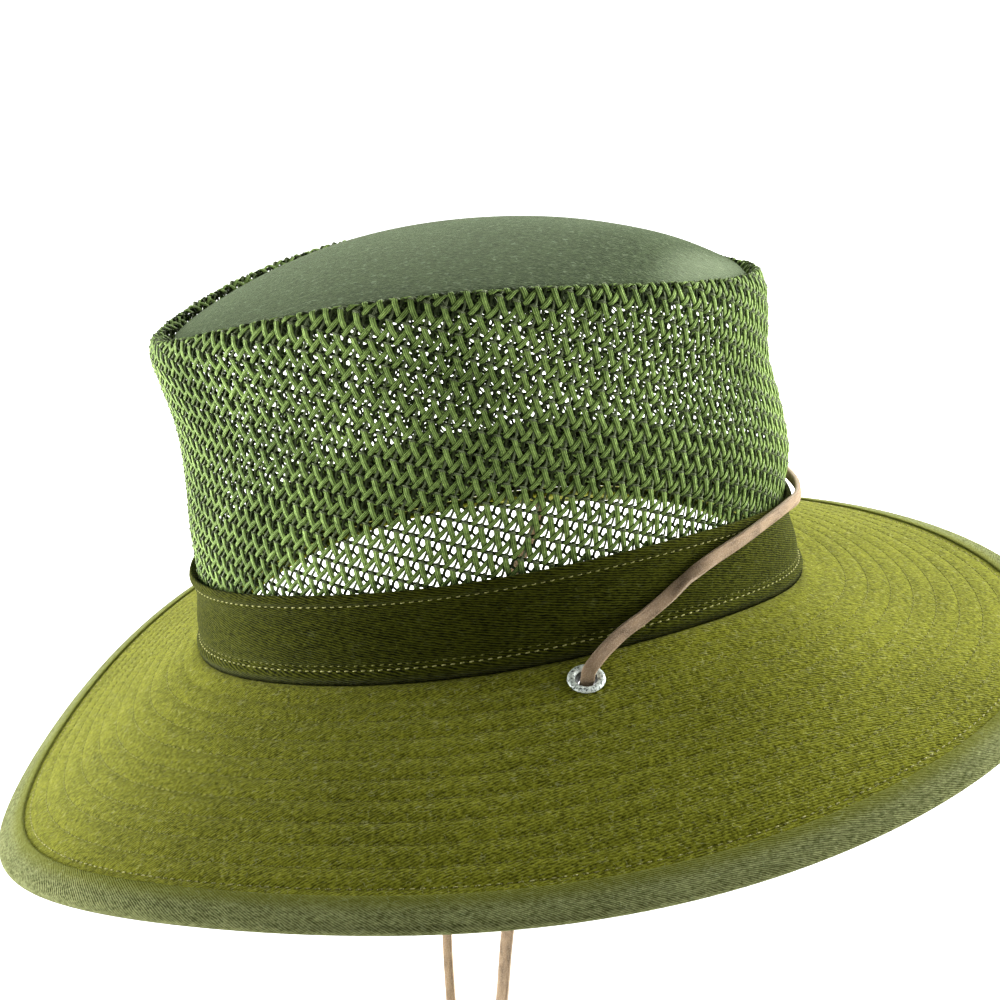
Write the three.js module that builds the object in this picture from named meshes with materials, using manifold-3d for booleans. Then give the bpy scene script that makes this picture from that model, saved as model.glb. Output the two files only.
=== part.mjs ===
// A wide-brimmed fishing hat with a knitted mesh crown and a leather chin lace.
// Millimetres, +Z up. The front is -Y, the wearer's left is +X, and the origin is the
// middle of the head opening, level with the brim seam at the front.
import * as THREE from 'three';
import { mergeVertices } from 'three/addons/utils/BufferGeometryUtils.js';
import Module from 'manifold-3d';

const TURN = 2 * Math.PI;
const GAP = 0.3; // between neighbouring pieces
const SECTORS = 60; // facets round the hat

// The head opening is an oval, measured outside the band and a little fuller at the front.
const HEAD_HALF_LENGTH = 105.4;
const HEAD_HALF_WIDTH = 84;
const FRONT_FULLNESS = 0.018;

// Five places evenly round each half of the hat, from the front to the back: the height of
// the brim seam, the height of the crown's rim and how far the brim droops, in degrees.
const STATIONS = [
  { place: 'front', seam: 0, rim: 109.2, droop: 31.5 },
  { place: 'front quarter', seam: 5.6, rim: 117.3, droop: 19.4 },
  { place: 'side', seam: 9.2, rim: 122.9, droop: 20.2 },
  { place: 'back quarter', seam: 6.6, rim: 112.1, droop: 19.9 },
  { place: 'back', seam: -1.3, rim: 105.2, droop: 15.3 },
];

// The soft rim sags a little over the wearer's right ear.
const RIM_SAG = 2.8;

// The outside of the crown wall, from its hem behind the band up over the rolled rim. along
// is the length up the wall, share the part of the way from seam to rim, shift how far the
// oval sits towards the back, and tuck how far it has rolled down inside the rim.
const CROWN_WALL = 1.6;
const CROWN_ROWS = [
  { along: 0, share: 0, halfLength: 102.4, halfWidth: 81, shift: 0, tuck: 0 },
  { along: 15, share: 0.13, halfLength: 101.7, halfWidth: 80.3, shift: 0, tuck: 0 },
  { along: 30, share: 0.27, halfLength: 101.7, halfWidth: 80.2, shift: 0.3, tuck: 0 },
  { along: 43, share: 0.4, halfLength: 102.8, halfWidth: 80.4, shift: 1.9, tuck: 0 },
  { along: 59, share: 0.55, halfLength: 101.3, halfWidth: 79.5, shift: 2.2, tuck: 0 },
  { along: 77, share: 0.72, halfLength: 99.4, halfWidth: 79.6, shift: 1, tuck: 0 },
  { along: 94, share: 0.88, halfLength: 101, halfWidth: 82.4, shift: 0.2, tuck: 0 },
  { along: 102, share: 0.955, halfLength: 101.3, halfWidth: 84.2, shift: -0.4, tuck: 0 },
  { along: 107, share: 1, halfLength: 99.3, halfWidth: 83.1, shift: -0.4, tuck: 0 },
  { along: 111, share: 1, halfLength: 97, halfWidth: 79.7, shift: 0, tuck: 1.2 },
  { along: 115, share: 1, halfLength: 95, halfWidth: 77.7, shift: 0, tuck: 4 },
];

// The oval top panel: its edge lies a little below the rim, and it is domed up to its peak.
const TIP_WALL = 1.5;
const TIP_HALF_LENGTH = 94.4;
const TIP_HALF_WIDTH = 77.1;
const TIP_SINK = 1.8;
const TIP_PEAK = 128.8;
const TIP_FALL = 2.2; // how late the dome falls away towards its edge

// The band is hemmed and stitched along both edges and hollow between them. bulge is how far
// its face stands out from a plain cone, at a share of its height.
const BAND_WALL = 1.2;
const BAND_HEIGHT = 28.7;
const BAND_TAPER = 1.9;
const BAND_ROWS = [
  { share: 0, bulge: 0.7 },
  { share: 0.18, bulge: 0 },
  { share: 0.5, bulge: -0.7 },
  { share: 0.82, bulge: -0.2 },
  { share: 1, bulge: 0.2 },
];

// The brim leaves the seam level and bends down to its droop over a short length.
const BRIM_WIDTH = 88.9;
const BRIM_WALL = 1.6;
const BRIM_BEND = 3;
const BRIM_LIP = 5; // how far it reaches in under the crown

// The binding is a tape folded over the brim's edge.
const BINDING_WIDTH = 10.9;
const BINDING_WALL = 0.8;

// One eyelet on each side, at an angle round from the front and a distance out from the seam.
const EYELET_ANGLE = 101.5;
const EYELET_OUT = 9.8;
const EYELET_HOLE_RADIUS = 3.3;
const EYELET_BARREL_RADIUS = 3.7;
const EYELET_FLANGE_RADIUS = 5.7;
const EYELET_FLANGE = 0.9;
const EYELET_SIDES = 20;

// The lace. Over the crown its route is given by the angle round from the front, the height
// above the seam and the distance out from the band, from the left eyelet to the back.
const LACE_RADIUS = 1.6;
const LACE_SIDES = 8;
const LACE_CROWN_STEPS = 28;
const LACE_DROP_STEPS = 26;
const LACE_OVER_BAND = [
  { angle: 100.9, height: -6.6, out: 8.1 },
  { angle: 101.4, height: -2.9, out: 9.3 },
  { angle: 102.1, height: -0.2, out: 9.7 },
  { angle: 103.6, height: 2.2, out: 8.9 },
  { angle: 105.8, height: 4.5, out: 7.3 },
  { angle: 109.2, height: 7.1, out: 5.2 },
  { angle: 113.4, height: 9.4, out: 3.6 },
  { angle: 118, height: 12.7, out: 2.6 },
  { angle: 122.5, height: 16.6, out: 2.3 },
  { angle: 128, height: 20.1, out: 2.3 },
  { angle: 136.5, height: 23.6, out: 2.3 },
  { angle: 144, height: 26.2, out: 2.4 },
  { angle: 154, height: 28.6, out: 2.9 },
  { angle: 164, height: 30, out: 3.5 },
  { angle: 180, height: 30.6, out: 3.7 },
];
const LACE_LEFT_DROP = [
  [90, 21, 1.8],
  [87.2, 19.4, -7],
  [83.8, 6.5, -30],
  [77.5, -5, -60],
  [70, -12.2, -89.4],
  [62, -18.1, -122],
  [51.5, -25.5, -160],
  [38, -33.8, -200],
  [21.5, -41.8, -240],
  [9, -47, -264],
  [3.1, -49.5, -279.6],
];
const LACE_RIGHT_DROP = [
  [-90, 21, 1.8],
  [-87.4, 18.6, -7],
  [-82, -2, -40],
  [-75, -20, -80],
  [-67.5, -32.5, -120],
  [-61, -39, -150],
  [-55, -43.2, -172.5],
  [-46.5, -45.8, -201.5],
  [-27, -48.5, -240],
  [-10, -49.4, -264],
  [-3.1, -49.5, -279.6],
];

// The slide is a small turned barrel at the foot of the two drops.
const SLIDE_CENTRE = [0, -49.5, -289];
const SLIDE_LENGTH = 17;
const SLIDE_WAIST_RADIUS = 6.6;
const SLIDE_END_RADIUS = 5.4;
const SLIDE_EDGE = 1;

const TWILL = { color: 0x56591c, roughness: 0.95, metalness: 0 };
const TIP_TWILL = { color: 0x4c5a35, roughness: 0.95, metalness: 0 };
const BAND_TWILL = { color: 0x3a3d16, roughness: 0.95, metalness: 0 };
const BINDING_TWILL = { color: 0x4a5322, roughness: 0.95, metalness: 0 };
const KNIT = { color: 0x4d6a2c, roughness: 0.8, metalness: 0 };
const EYELET_METAL = { color: 0xc4d2cb, roughness: 0.45, metalness: 0.8 };
const LEATHER = { color: 0x6d5644, roughness: 0.75, metalness: 0 };
const WOOD = { color: 0x4a3626, roughness: 0.6, metalness: 0 };

const wasm = await Module();
wasm.setup();

const radians = THREE.MathUtils.degToRad;

// A smooth curve round the hat through one column of the stations, the same on both sides.
function aroundHat(column) {
  const last = STATIONS.length - 1;
  const weight = (i) => (i === 0 || i === last ? 0.5 : 1);
  const waves = STATIONS.map((_, k) => {
    const sum = STATIONS.reduce((total, station, i) => (
      total + weight(i) * station[column] * Math.cos((Math.PI * i * k) / last)), 0);
    return (2 / last) * weight(k) * sum;
  });
  return (angle) => waves.reduce((total, wave, k) => total + wave * Math.cos(k * angle), 0);
}

const seamHeight = aroundHat('seam');
const evenRim = aroundHat('rim');
const rimHeight = (angle) => evenRim(angle) - RIM_SAG * Math.max(0, -Math.sin(angle)) ** 4;
const brimDroop = aroundHat('droop');

// A smooth curve through the rows of a table, by its first column.
function throughRows(rows, by, columns) {
  const values = rows.flatMap((row) => columns.map((column) => row[column]));
  const curve = new THREE.CubicInterpolant(rows.map((row) => row[by]), values, columns.length);
  return (at) => [...curve.evaluate(at)];
}

// A point of an oval round the head, from the front towards the wearer's left.
function oval(halfLength, halfWidth, angle) {
  const fullness = 1 + FRONT_FULLNESS * Math.cos(angle);
  return new THREE.Vector3(
    halfWidth * Math.sin(angle) * fullness,
    -halfLength * Math.cos(angle),
    0,
  );
}

// The level direction straight out from the head at an angle.
function outward(angle) {
  const across = Math.sin(angle) / HEAD_HALF_WIDTH;
  const forward = -Math.cos(angle) / HEAD_HALF_LENGTH;
  return new THREE.Vector3(across, forward, 0).normalize();
}

const crownRow = throughRows(
  CROWN_ROWS, 'along', ['share', 'halfLength', 'halfWidth', 'shift', 'tuck']);

function crownSurface(along, angle) {
  const [share, halfLength, halfWidth, shift, tuck] = crownRow(along);
  const foot = seamHeight(angle) + GAP;
  const point = oval(halfLength, halfWidth, angle);
  point.y += shift;
  point.z = foot + share * (rimHeight(angle) - foot) - tuck;
  return point;
}

const bandRow = throughRows(BAND_ROWS, 'share', ['bulge']);

function bandSurface(height, angle) {
  const share = height / BAND_HEIGHT;
  const [bulge] = bandRow(share);
  const grow = bulge - BAND_TAPER * share;
  const point = oval(HEAD_HALF_LENGTH + grow, HEAD_HALF_WIDTH + grow, angle);
  point.z = seamHeight(angle) + GAP + height;
  return point;
}

function brimSurface(out, angle) {
  const droop = radians(brimDroop(angle));
  const radius = BRIM_BEND / droop;
  const turned = droop * THREE.MathUtils.clamp(out / BRIM_BEND, 0, 1);
  const straight = Math.max(out - BRIM_BEND, 0);
  const reach = Math.min(out, 0) + radius * Math.sin(turned) + straight * Math.cos(droop);
  const drop = radius * (1 - Math.cos(turned)) + straight * Math.sin(droop);
  const point = oval(HEAD_HALF_LENGTH, HEAD_HALF_WIDTH, angle);
  point.addScaledVector(outward(angle), reach);
  point.z = seamHeight(angle) - drop;
  return point;
}

// The direction square to a surface. side is 1 where its length runs upwards or inwards,
// as on the crown, and -1 where it runs outwards, as on the brim.
function squareTo(surface, along, angle, side) {
  const step = 0.4;
  const turn = 0.01;
  const lengthways = surface(along + step, angle).sub(surface(along - step, angle));
  const sideways = surface(along, angle + turn).sub(surface(along, angle - turn));
  return sideways.cross(lengthways).normalize().multiplyScalar(side);
}

// Turns a closed section of [along, depth] points round the hat.
function ringSolid(section, place) {
  const outline = [...section, section[0]].map(([along, depth]) => new THREE.Vector2(along, depth));
  const geometry = new THREE.LatheGeometry(outline, SECTORS);
  const position = geometry.attributes.position;
  for (let i = 0; i < position.count; i += 1) {
    const angle = (TURN * Math.floor(i / outline.length)) / SECTORS;
    const { x: along, y: depth } = outline[i % outline.length];
    position.setXYZ(i, ...place(along, depth, angle));
  }
  geometry.computeVertexNormals();
  return geometry;
}

// The section of a wall: up its face and back along its other side.
function wallSection(alongs, wall) {
  return [...alongs.map((along) => [along, 0]), ...alongs.toReversed().map((along) => [along, wall])];
}

function evenly(from, to, count) {
  return Array.from({ length: count + 1 }, (_, i) => from + ((to - from) * i) / count);
}

function clothRing(surface, alongs, wall, side) {
  const section = wallSection(alongs, wall);
  return ringSolid(side > 0 ? section : section.toReversed(), (along, depth, angle) => (
    surface(along, angle).addScaledVector(squareTo(surface, along, angle, side), -depth)));
}

// Cutting one closed solid with others
function toManifold(geometry) {
  const bare = geometry.clone();
  bare.deleteAttribute('normal');
  bare.deleteAttribute('uv');
  const merged = mergeVertices(bare, 1e-4);
  return new wasm.Manifold(new wasm.Mesh({
    numProp: 3,
    vertProperties: new Float32Array(merged.attributes.position.array),
    triVerts: new Uint32Array(merged.index.array),
  }));
}

function cut(geometry, tools) {
  const solid = tools.reduce((left, tool) => left.subtract(toManifold(tool)), toManifold(geometry));
  const mesh = solid.getMesh();
  const result = new THREE.BufferGeometry();
  result.setAttribute('position', new THREE.BufferAttribute(mesh.vertProperties, 3));
  result.setIndex(new THREE.BufferAttribute(mesh.triVerts, 1));
  result.computeVertexNormals();
  return result;
}

function crownTip() {
  const reaches = evenly(0, 1, 7);
  const section = wallSection(reaches, TIP_WALL).toReversed();
  return ringSolid(section, (reach, depth, angle) => {
    const edge = rimHeight(angle) - TIP_SINK;
    const point = oval(TIP_HALF_LENGTH * reach, TIP_HALF_WIDTH * reach, angle);
    point.z = TIP_PEAK - (TIP_PEAK - edge) * reach ** TIP_FALL - depth;
    return point;
  });
}

function crownMesh() {
  const wall = evenly(0, CROWN_ROWS.at(-4).along, 9);
  const roll = CROWN_ROWS.slice(-3).map((row) => row.along);
  return clothRing(crownSurface, [...wall, ...roll], CROWN_WALL, 1);
}

function band() {
  return clothRing(bandSurface, evenly(0, BAND_HEIGHT, 6), BAND_WALL, 1);
}

const BRIM_CLOTH_EDGE = BRIM_WIDTH - BINDING_WALL - GAP;

function brim() {
  const outs = [-BRIM_LIP, 0, BRIM_BEND, BRIM_WIDTH / 3, (2 * BRIM_WIDTH) / 3, BRIM_CLOTH_EDGE];
  const cloth = clothRing(brimSurface, outs, BRIM_WALL, -1);
  const drill = new THREE.CylinderGeometry(
    EYELET_BARREL_RADIUS + GAP, EYELET_BARREL_RADIUS + GAP, 8 * BRIM_WALL, EYELET_SIDES);
  drill.rotateX(Math.PI / 2);
  return cut(cloth, [1, -1].map((side) => seatEyelet(drill.clone(), side)));
}

function brimBinding() {
  const inner = GAP;
  const outer = GAP + BINDING_WALL;
  const start = BRIM_WIDTH - BINDING_WIDTH;
  const edge = BRIM_CLOTH_EDGE + GAP;
  const round = outer + BRIM_WALL / 2;
  const section = [
    [start, -outer],
    [BRIM_WIDTH - round, -outer],
    [BRIM_WIDTH - round * (1 - Math.SQRT1_2), BRIM_WALL / 2 - round * Math.SQRT1_2],
    [BRIM_WIDTH, BRIM_WALL / 2],
    [BRIM_WIDTH - round * (1 - Math.SQRT1_2), BRIM_WALL / 2 + round * Math.SQRT1_2],
    [BRIM_WIDTH - round, BRIM_WALL + outer],
    [start, BRIM_WALL + outer],
    [start, BRIM_WALL + inner],
    [edge, BRIM_WALL + inner],
    [edge, -inner],
    [start, -inner],
  ];
  return ringSolid(section.toReversed(), (out, depth, angle) => (
    brimSurface(out, angle).addScaledVector(squareTo(brimSurface, out, angle, -1), -depth)));
}

// Moves a piece that stands on the origin along +Z to the eyelet's place on the brim.
function seatEyelet(geometry, side) {
  const angle = side * radians(EYELET_ANGLE);
  const square = squareTo(brimSurface, EYELET_OUT, angle, -1);
  const turn = new THREE.Quaternion().setFromUnitVectors(new THREE.Vector3(0, 0, 1), square);
  const place = brimSurface(EYELET_OUT, angle);
  return geometry.applyMatrix4(new THREE.Matrix4().compose(place, turn, new THREE.Vector3(1, 1, 1)));
}

// An eyelet is a barrel through the brim with a rolled flange above and below.
function eyelet(side) {
  const top = GAP;
  const foot = -BRIM_WALL - GAP;
  const crest = (EYELET_HOLE_RADIUS + EYELET_FLANGE_RADIUS) / 2;
  const profile = [
    [EYELET_HOLE_RADIUS, foot - EYELET_FLANGE / 2],
    [crest, foot - EYELET_FLANGE],
    [EYELET_FLANGE_RADIUS, foot - EYELET_FLANGE / 3],
    [EYELET_FLANGE_RADIUS, foot],
    [EYELET_BARREL_RADIUS, foot],
    [EYELET_BARREL_RADIUS, top],
    [EYELET_FLANGE_RADIUS, top],
    [EYELET_FLANGE_RADIUS, top + EYELET_FLANGE / 3],
    [crest, top + EYELET_FLANGE],
    [EYELET_HOLE_RADIUS, top + EYELET_FLANGE / 2],
    [EYELET_HOLE_RADIUS, foot - EYELET_FLANGE / 2],
  ];
  const ring = new THREE.LatheGeometry(profile.map(([r, z]) => new THREE.Vector2(r, z)), EYELET_SIDES);
  ring.rotateX(Math.PI / 2);
  return seatEyelet(ring, side);
}

// A round tube along a smooth curve through the points.
function lace(points, steps) {
  const section = new THREE.Shape(Array.from({ length: LACE_SIDES }, (_, i) => {
    const angle = (TURN * i) / LACE_SIDES;
    return new THREE.Vector2(LACE_RADIUS * Math.cos(angle), LACE_RADIUS * Math.sin(angle));
  }));
  const extrudePath = new THREE.CatmullRomCurve3(points);
  return new THREE.ExtrudeGeometry(section, { steps, extrudePath });
}

function laceOverBand() {
  const onLeft = LACE_OVER_BAND.map(({ angle, height, out }) => {
    const turn = radians(angle);
    const taper = (BAND_TAPER * Math.max(height, 0)) / BAND_HEIGHT;
    const point = oval(HEAD_HALF_LENGTH - taper, HEAD_HALF_WIDTH - taper, turn);
    point.addScaledVector(outward(turn), out);
    point.z = seamHeight(turn) + height;
    return point;
  });
  const onRight = onLeft.slice(0, -1).map(({ x, y, z }) => new THREE.Vector3(-x, y, z));
  return lace([...onLeft, ...onRight.toReversed()], LACE_CROWN_STEPS);
}

function laceDrop(points) {
  return lace(points.map((point) => new THREE.Vector3(...point)), LACE_DROP_STEPS);
}

function laceSlide() {
  const half = SLIDE_LENGTH / 2;
  const profile = [
    [0, -half],
    [SLIDE_END_RADIUS - SLIDE_EDGE, -half],
    [SLIDE_END_RADIUS, -half + SLIDE_EDGE],
    [SLIDE_WAIST_RADIUS, -half / 3],
    [SLIDE_WAIST_RADIUS, half / 3],
    [SLIDE_END_RADIUS, half - SLIDE_EDGE],
    [SLIDE_END_RADIUS - SLIDE_EDGE, half],
    [0, half],
  ];
  const barrel = new THREE.LatheGeometry(profile.map(([r, z]) => new THREE.Vector2(r, z)), EYELET_SIDES);
  return barrel.rotateX(Math.PI / 2).translate(...SLIDE_CENTRE);
}

const hat = new THREE.Group();

function add(name, geometry, finish) {
  const mesh = new THREE.Mesh(geometry, new THREE.MeshStandardMaterial(finish));
  mesh.name = name;
  hat.add(mesh);
}

add('crown_tip', crownTip(), TIP_TWILL);
add('crown_mesh', crownMesh(), KNIT);
add('band', band(), BAND_TWILL);
add('brim', brim(), TWILL);
add('brim_binding', brimBinding(), BINDING_TWILL);
add('eyelet_left', eyelet(1), EYELET_METAL);
add('eyelet_right', eyelet(-1), EYELET_METAL);
add('chin_lace_crown', laceOverBand(), LEATHER);
add('chin_lace_left', laceDrop(LACE_LEFT_DROP), LEATHER);
add('chin_lace_right', laceDrop(LACE_RIGHT_DROP), LEATHER);
add('lace_slide', laceSlide(), WOOD);

export default hat;
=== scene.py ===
# A wide-brimmed fishing hat with a knitted mesh crown and a leather chin lace, in metres.
# The front is -Y and the wearer's left is +X. Angles run round the hat from the front to the left.
import math

import bmesh
import bpy
import numpy as np
from mathutils import Matrix, Vector
from mathutils.geometry import interpolate_bezier


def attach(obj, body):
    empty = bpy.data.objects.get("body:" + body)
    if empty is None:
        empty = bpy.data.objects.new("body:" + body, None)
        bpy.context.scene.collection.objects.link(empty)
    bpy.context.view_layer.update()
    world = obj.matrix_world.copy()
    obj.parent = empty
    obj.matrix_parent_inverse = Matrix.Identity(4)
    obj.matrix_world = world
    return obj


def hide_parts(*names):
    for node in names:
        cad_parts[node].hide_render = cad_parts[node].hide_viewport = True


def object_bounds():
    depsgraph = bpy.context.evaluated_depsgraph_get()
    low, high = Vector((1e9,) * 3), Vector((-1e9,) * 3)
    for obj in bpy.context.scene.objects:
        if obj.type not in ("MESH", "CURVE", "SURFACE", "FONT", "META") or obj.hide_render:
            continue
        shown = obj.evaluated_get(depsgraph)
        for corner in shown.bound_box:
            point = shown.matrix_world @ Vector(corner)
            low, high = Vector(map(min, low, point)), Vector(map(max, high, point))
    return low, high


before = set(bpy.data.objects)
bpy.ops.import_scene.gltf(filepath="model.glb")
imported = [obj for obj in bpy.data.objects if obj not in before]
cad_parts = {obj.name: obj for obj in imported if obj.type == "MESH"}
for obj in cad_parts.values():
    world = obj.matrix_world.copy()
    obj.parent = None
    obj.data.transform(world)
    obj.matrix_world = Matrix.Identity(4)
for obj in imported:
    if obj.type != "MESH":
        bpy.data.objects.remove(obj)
cad_low, cad_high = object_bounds()

# Camera
# It looks at the wearer's left side from a little above the brim, and is rolled because the
# hat is tipped forward there.
CAMERA_PLACE = (0.4717, 0.0048, 0.1912)
CAMERA_DOWN = math.radians(18.378)
CAMERA_ROLL = math.radians(-7.991)
CAMERA_LENS = 51.69
camera = bpy.data.objects.new("camera", bpy.data.cameras.new("camera"))
bpy.context.scene.collection.objects.link(camera)
camera.data.sensor_width = 36
camera.data.lens = CAMERA_LENS
camera.data.clip_start = 0.01
aim = Matrix.Rotation(math.pi / 2, 4, "Z") @ Matrix.Rotation(math.pi / 2 - CAMERA_DOWN, 4, "X")
camera.matrix_world = Matrix.Translation(CAMERA_PLACE) @ aim @ Matrix.Rotation(CAMERA_ROLL, 4, "Z")
bpy.context.scene.camera = camera

# Lace slide
# A small turned barrel of dark oiled wood on the two drops of the lace. The lace ends in it.
SLIDE_CENTRE = Vector((0, -0.0495, -0.289))
SLIDE_LENGTH = 0.017
SLIDE_WAIST = 0.0066
SLIDE_END = 0.0054
SLIDE_BORE = 0.0034
SLIDE_BORE_DEPTH = 0.005
SLIDE_CORE = 0.0002  # the thin core between its two bores
SLIDE_SWELL = 0.96  # share of the length that its swell takes
WOOD_DARK = (0.035, 0.018, 0.009, 1)
WOOD_LIGHT = (0.11, 0.062, 0.032, 1)


class Wire:
    """An output in a material's tree. Arithmetic on wires adds Math nodes."""

    def __init__(self, finish, socket):
        self.finish = finish
        self.socket = socket

    def math(self, operation, first, second=0.0):
        return self.finish.node("Math", {"operation": operation}, {0: first, 1: second})

    def __add__(self, other):
        return self.math("ADD", self, other)

    __radd__ = __add__

    def __sub__(self, other):
        return self.math("SUBTRACT", self, other)

    def __rsub__(self, other):
        return self.math("SUBTRACT", other, self)

    def __mul__(self, other):
        return self.math("MULTIPLY", self, other)

    __rmul__ = __mul__

    def __abs__(self):
        return self.math("ABSOLUTE", self)

    def sine(self):
        return self.math("SINE", self)

    def rise(self, low, high):
        """0 below low, 1 above high and smooth between."""
        return self.finish.node("MapRange", {"interpolation_type": "SMOOTHSTEP"},
                                {"Value": self, "From Min": low, "From Max": high})


class Finish:
    """A material under construction. node() adds a node and gives back one of its outputs."""

    def __init__(self, name, **shader_values):
        self.material = bpy.data.materials.new(name)
        self.material.use_nodes = True
        self.tree = self.material.node_tree
        self.shader = self.tree.nodes["Principled BSDF"]
        for socket, value in shader_values.items():
            self.shader.inputs[socket.replace("_", " ")].default_value = value

    def node(self, kind, settings=None, sockets=None, output=0):
        made = self.tree.nodes.new("ShaderNode" + kind)
        for setting, value in (settings or {}).items():
            setattr(made, setting, value)
        for socket, value in (sockets or {}).items():
            if isinstance(value, Wire):
                self.tree.links.new(value.socket, made.inputs[socket])
            else:
                made.inputs[socket].default_value = value
        return Wire(self, made.outputs[output])

    def feed(self, **shader_wires):
        for socket, wire in shader_wires.items():
            self.tree.links.new(wire.socket, self.shader.inputs[socket.replace("_", " ")])
        return self.material

    def blend(self, share, first, second):
        return self.node("Mix", {"data_type": "RGBA"}, {0: share, 6: first, 7: second}, 2)

    def noise(self, place, scale, detail=2.0, roughness=0.5):
        return self.node("TexNoise", {}, {"Vector": place, "Scale": scale, "Detail": detail,
                                          "Roughness": roughness})

    def solid_place(self, stretch=(1, 1, 1)):
        place = self.node("TexCoord", output=3)
        return self.node("Mapping", {}, {"Vector": place, "Scale": stretch})

    def bump(self, height, depth, strength=1.0):
        return self.node("Bump", {}, {"Height": height, "Distance": depth, "Strength": strength})


def finished(name, form, material):
    """Turns a closed bmesh into a smooth-shaded piece that rides on the hat."""
    bmesh.ops.recalc_face_normals(form, faces=form.faces)
    mesh = bpy.data.meshes.new(name)
    form.to_mesh(mesh)
    form.free()
    mesh.shade_smooth()
    mesh.materials.append(material)
    piece = bpy.data.objects.new(name, mesh)
    bpy.context.scene.collection.objects.link(piece)
    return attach(piece, "root")


def turned(profile, steps):
    """A closed profile of (radius, height) points turned round Z."""
    form = bmesh.new()
    ring = [form.verts.new((radius, 0, height)) for radius, height in profile]
    edges = [form.edges.new(pair) for pair in zip(ring, ring[1:] + ring[:1])]
    bmesh.ops.spin(form, geom=ring + edges, axis=(0, 0, 1), cent=(0, 0, 0),
                   angle=2 * math.pi, steps=steps, use_merge=True)
    bmesh.ops.remove_doubles(form, verts=form.verts, dist=1e-6)
    return form


def wood_finish():
    wood = Finish("oiled_wood", Roughness=0.5)
    grain = wood.noise(wood.solid_place((1, 1, 0.08)), 1400, 4, 0.6)
    rings = wood.noise(wood.solid_place((1, 1, 0.15)), 420, 3)
    share = (grain * 0.6 + rings * 0.6).rise(0.42, 0.8)
    colour = wood.blend(share, WOOD_DARK, WOOD_LIGHT)
    return wood.feed(Base_Color=colour, Roughness=0.62 - share * 0.2, Normal=wood.bump(grain, 0.0002))


half_slide = SLIDE_LENGTH / 2
barrel = [(SLIDE_BORE, -half_slide + SLIDE_BORE_DEPTH), (SLIDE_BORE, -half_slide)]
for lean in np.linspace(-1, 1, 15):
    swell = math.cos(lean * math.pi / 2) ** 0.7
    barrel.append((SLIDE_END + (SLIDE_WAIST - SLIDE_END) * swell, lean * half_slide * SLIDE_SWELL))
barrel += [(SLIDE_BORE, half_slide), (SLIDE_BORE, half_slide - SLIDE_BORE_DEPTH),
           (SLIDE_CORE, half_slide - SLIDE_BORE_DEPTH), (SLIDE_CORE, -half_slide + SLIDE_BORE_DEPTH)]
slide_form = turned(barrel, 40)
bmesh.ops.translate(slide_form, verts=slide_form.verts, vec=SLIDE_CENTRE)
slide = finished("slide_barrel", slide_form, wood_finish())
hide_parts("lace_slide")

# Chin lace
# One flat thong of dry taupe leather. From the left eyelet it climbs the band, passes round the
# back of the crown to the right eyelet, and both ends hang through the eyelets to the slide.
LACE_WIDTH = 0.0042
LACE_THICKNESS = 0.0019
LACE_SIDES = 16
LACE_STEPS = 8
HEAD_HALF_LENGTH = 0.1054
HEAD_HALF_WIDTH = 0.084
FRONT_FULLNESS = 0.018
BAND_HEIGHT = 0.0287
BAND_TAPER = 0.0019
SEAM_STATIONS = (0, 0.0056, 0.0092, 0.0066, -0.0013)  # evenly from the front to the back
LACE_OVER_BAND = [  # degrees round, height over the seam, distance out, turn of the flat side
    (101.15, -0.0066, 0.0087, -5),
    (101.6, -0.0029, 0.0099, -10),
    (102.1, -0.0002, 0.0097, -22),
    (103.6, 0.0022, 0.0089, -28),
    (105.8, 0.0045, 0.0073, -26),
    (109.2, 0.0071, 0.0052, -22),
    (113.4, 0.0094, 0.0036, -26),
    (118, 0.0127, 0.0026, -48),
    (122.5, 0.0166, 0.0023, -80),
    (128, 0.0201, 0.0023, -30),
    (136.5, 0.0236, 0.0023, -4),
    (144, 0.0262, 0.0024, 8),
    (154, 0.0286, 0.0029, 5),
    (164, 0.0292, 0.0035, 0),
    (180, 0.0282, 0.0035, 0),
]
LACE_LEFT_DROP = [
    (0.09, 0.021, 0.0018), (0.0872, 0.0194, -0.007), (0.0838, 0.0065, -0.03),
    (0.0775, -0.005, -0.06), (0.07, -0.0122, -0.0894), (0.062, -0.0181, -0.122),
    (0.0515, -0.0255, -0.16), (0.038, -0.0338, -0.2), (0.0215, -0.0418, -0.24),
    (0.009, -0.047, -0.264), (0.0031, -0.0495, -0.2796),
]
LACE_RIGHT_DROP = [
    (-0.09, 0.021, 0.0018), (-0.0874, 0.0186, -0.007), (-0.082, -0.002, -0.04),
    (-0.075, -0.02, -0.08), (-0.0675, -0.0325, -0.12), (-0.061, -0.039, -0.15),
    (-0.055, -0.0432, -0.1725), (-0.0465, -0.0458, -0.2015), (-0.027, -0.0485, -0.24),
    (-0.01, -0.0494, -0.264), (-0.0031, -0.0495, -0.2796),
]
LACE_DROPS = [  # side, route, length, turn of the flat side at the eyelet and at the slide
    ("left", LACE_LEFT_DROP, 0.305, -15, 75),
    ("right", LACE_RIGHT_DROP, 0.311, 15, 20),
]
LEATHER_DARK = (0.185, 0.135, 0.088, 1)
LEATHER_MID = (0.4, 0.29, 0.185, 1)
LEATHER_PALE = (0.58, 0.475, 0.37, 1)


def around_hat(stations):
    """A smooth curve round the hat through values at even stations from the front to the back."""
    last = len(stations) - 1
    waves = np.arange(last + 1)
    weights = np.where((waves == 0) | (waves == last), 0.5, 1)
    cosines = np.cos(np.pi * np.outer(waves, waves) / last)
    shares = 2 / last * weights * (cosines @ (weights * np.array(stations)))
    return lambda angle: np.cos(np.multiply.outer(angle, waves)) @ shares


def oval(half_length, half_width, angle):
    fullness = 1 + FRONT_FULLNESS * np.cos(angle)
    across = half_width * np.sin(angle) * fullness
    return np.stack([across, -half_length * np.cos(angle), 0 * angle], axis=-1)


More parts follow.
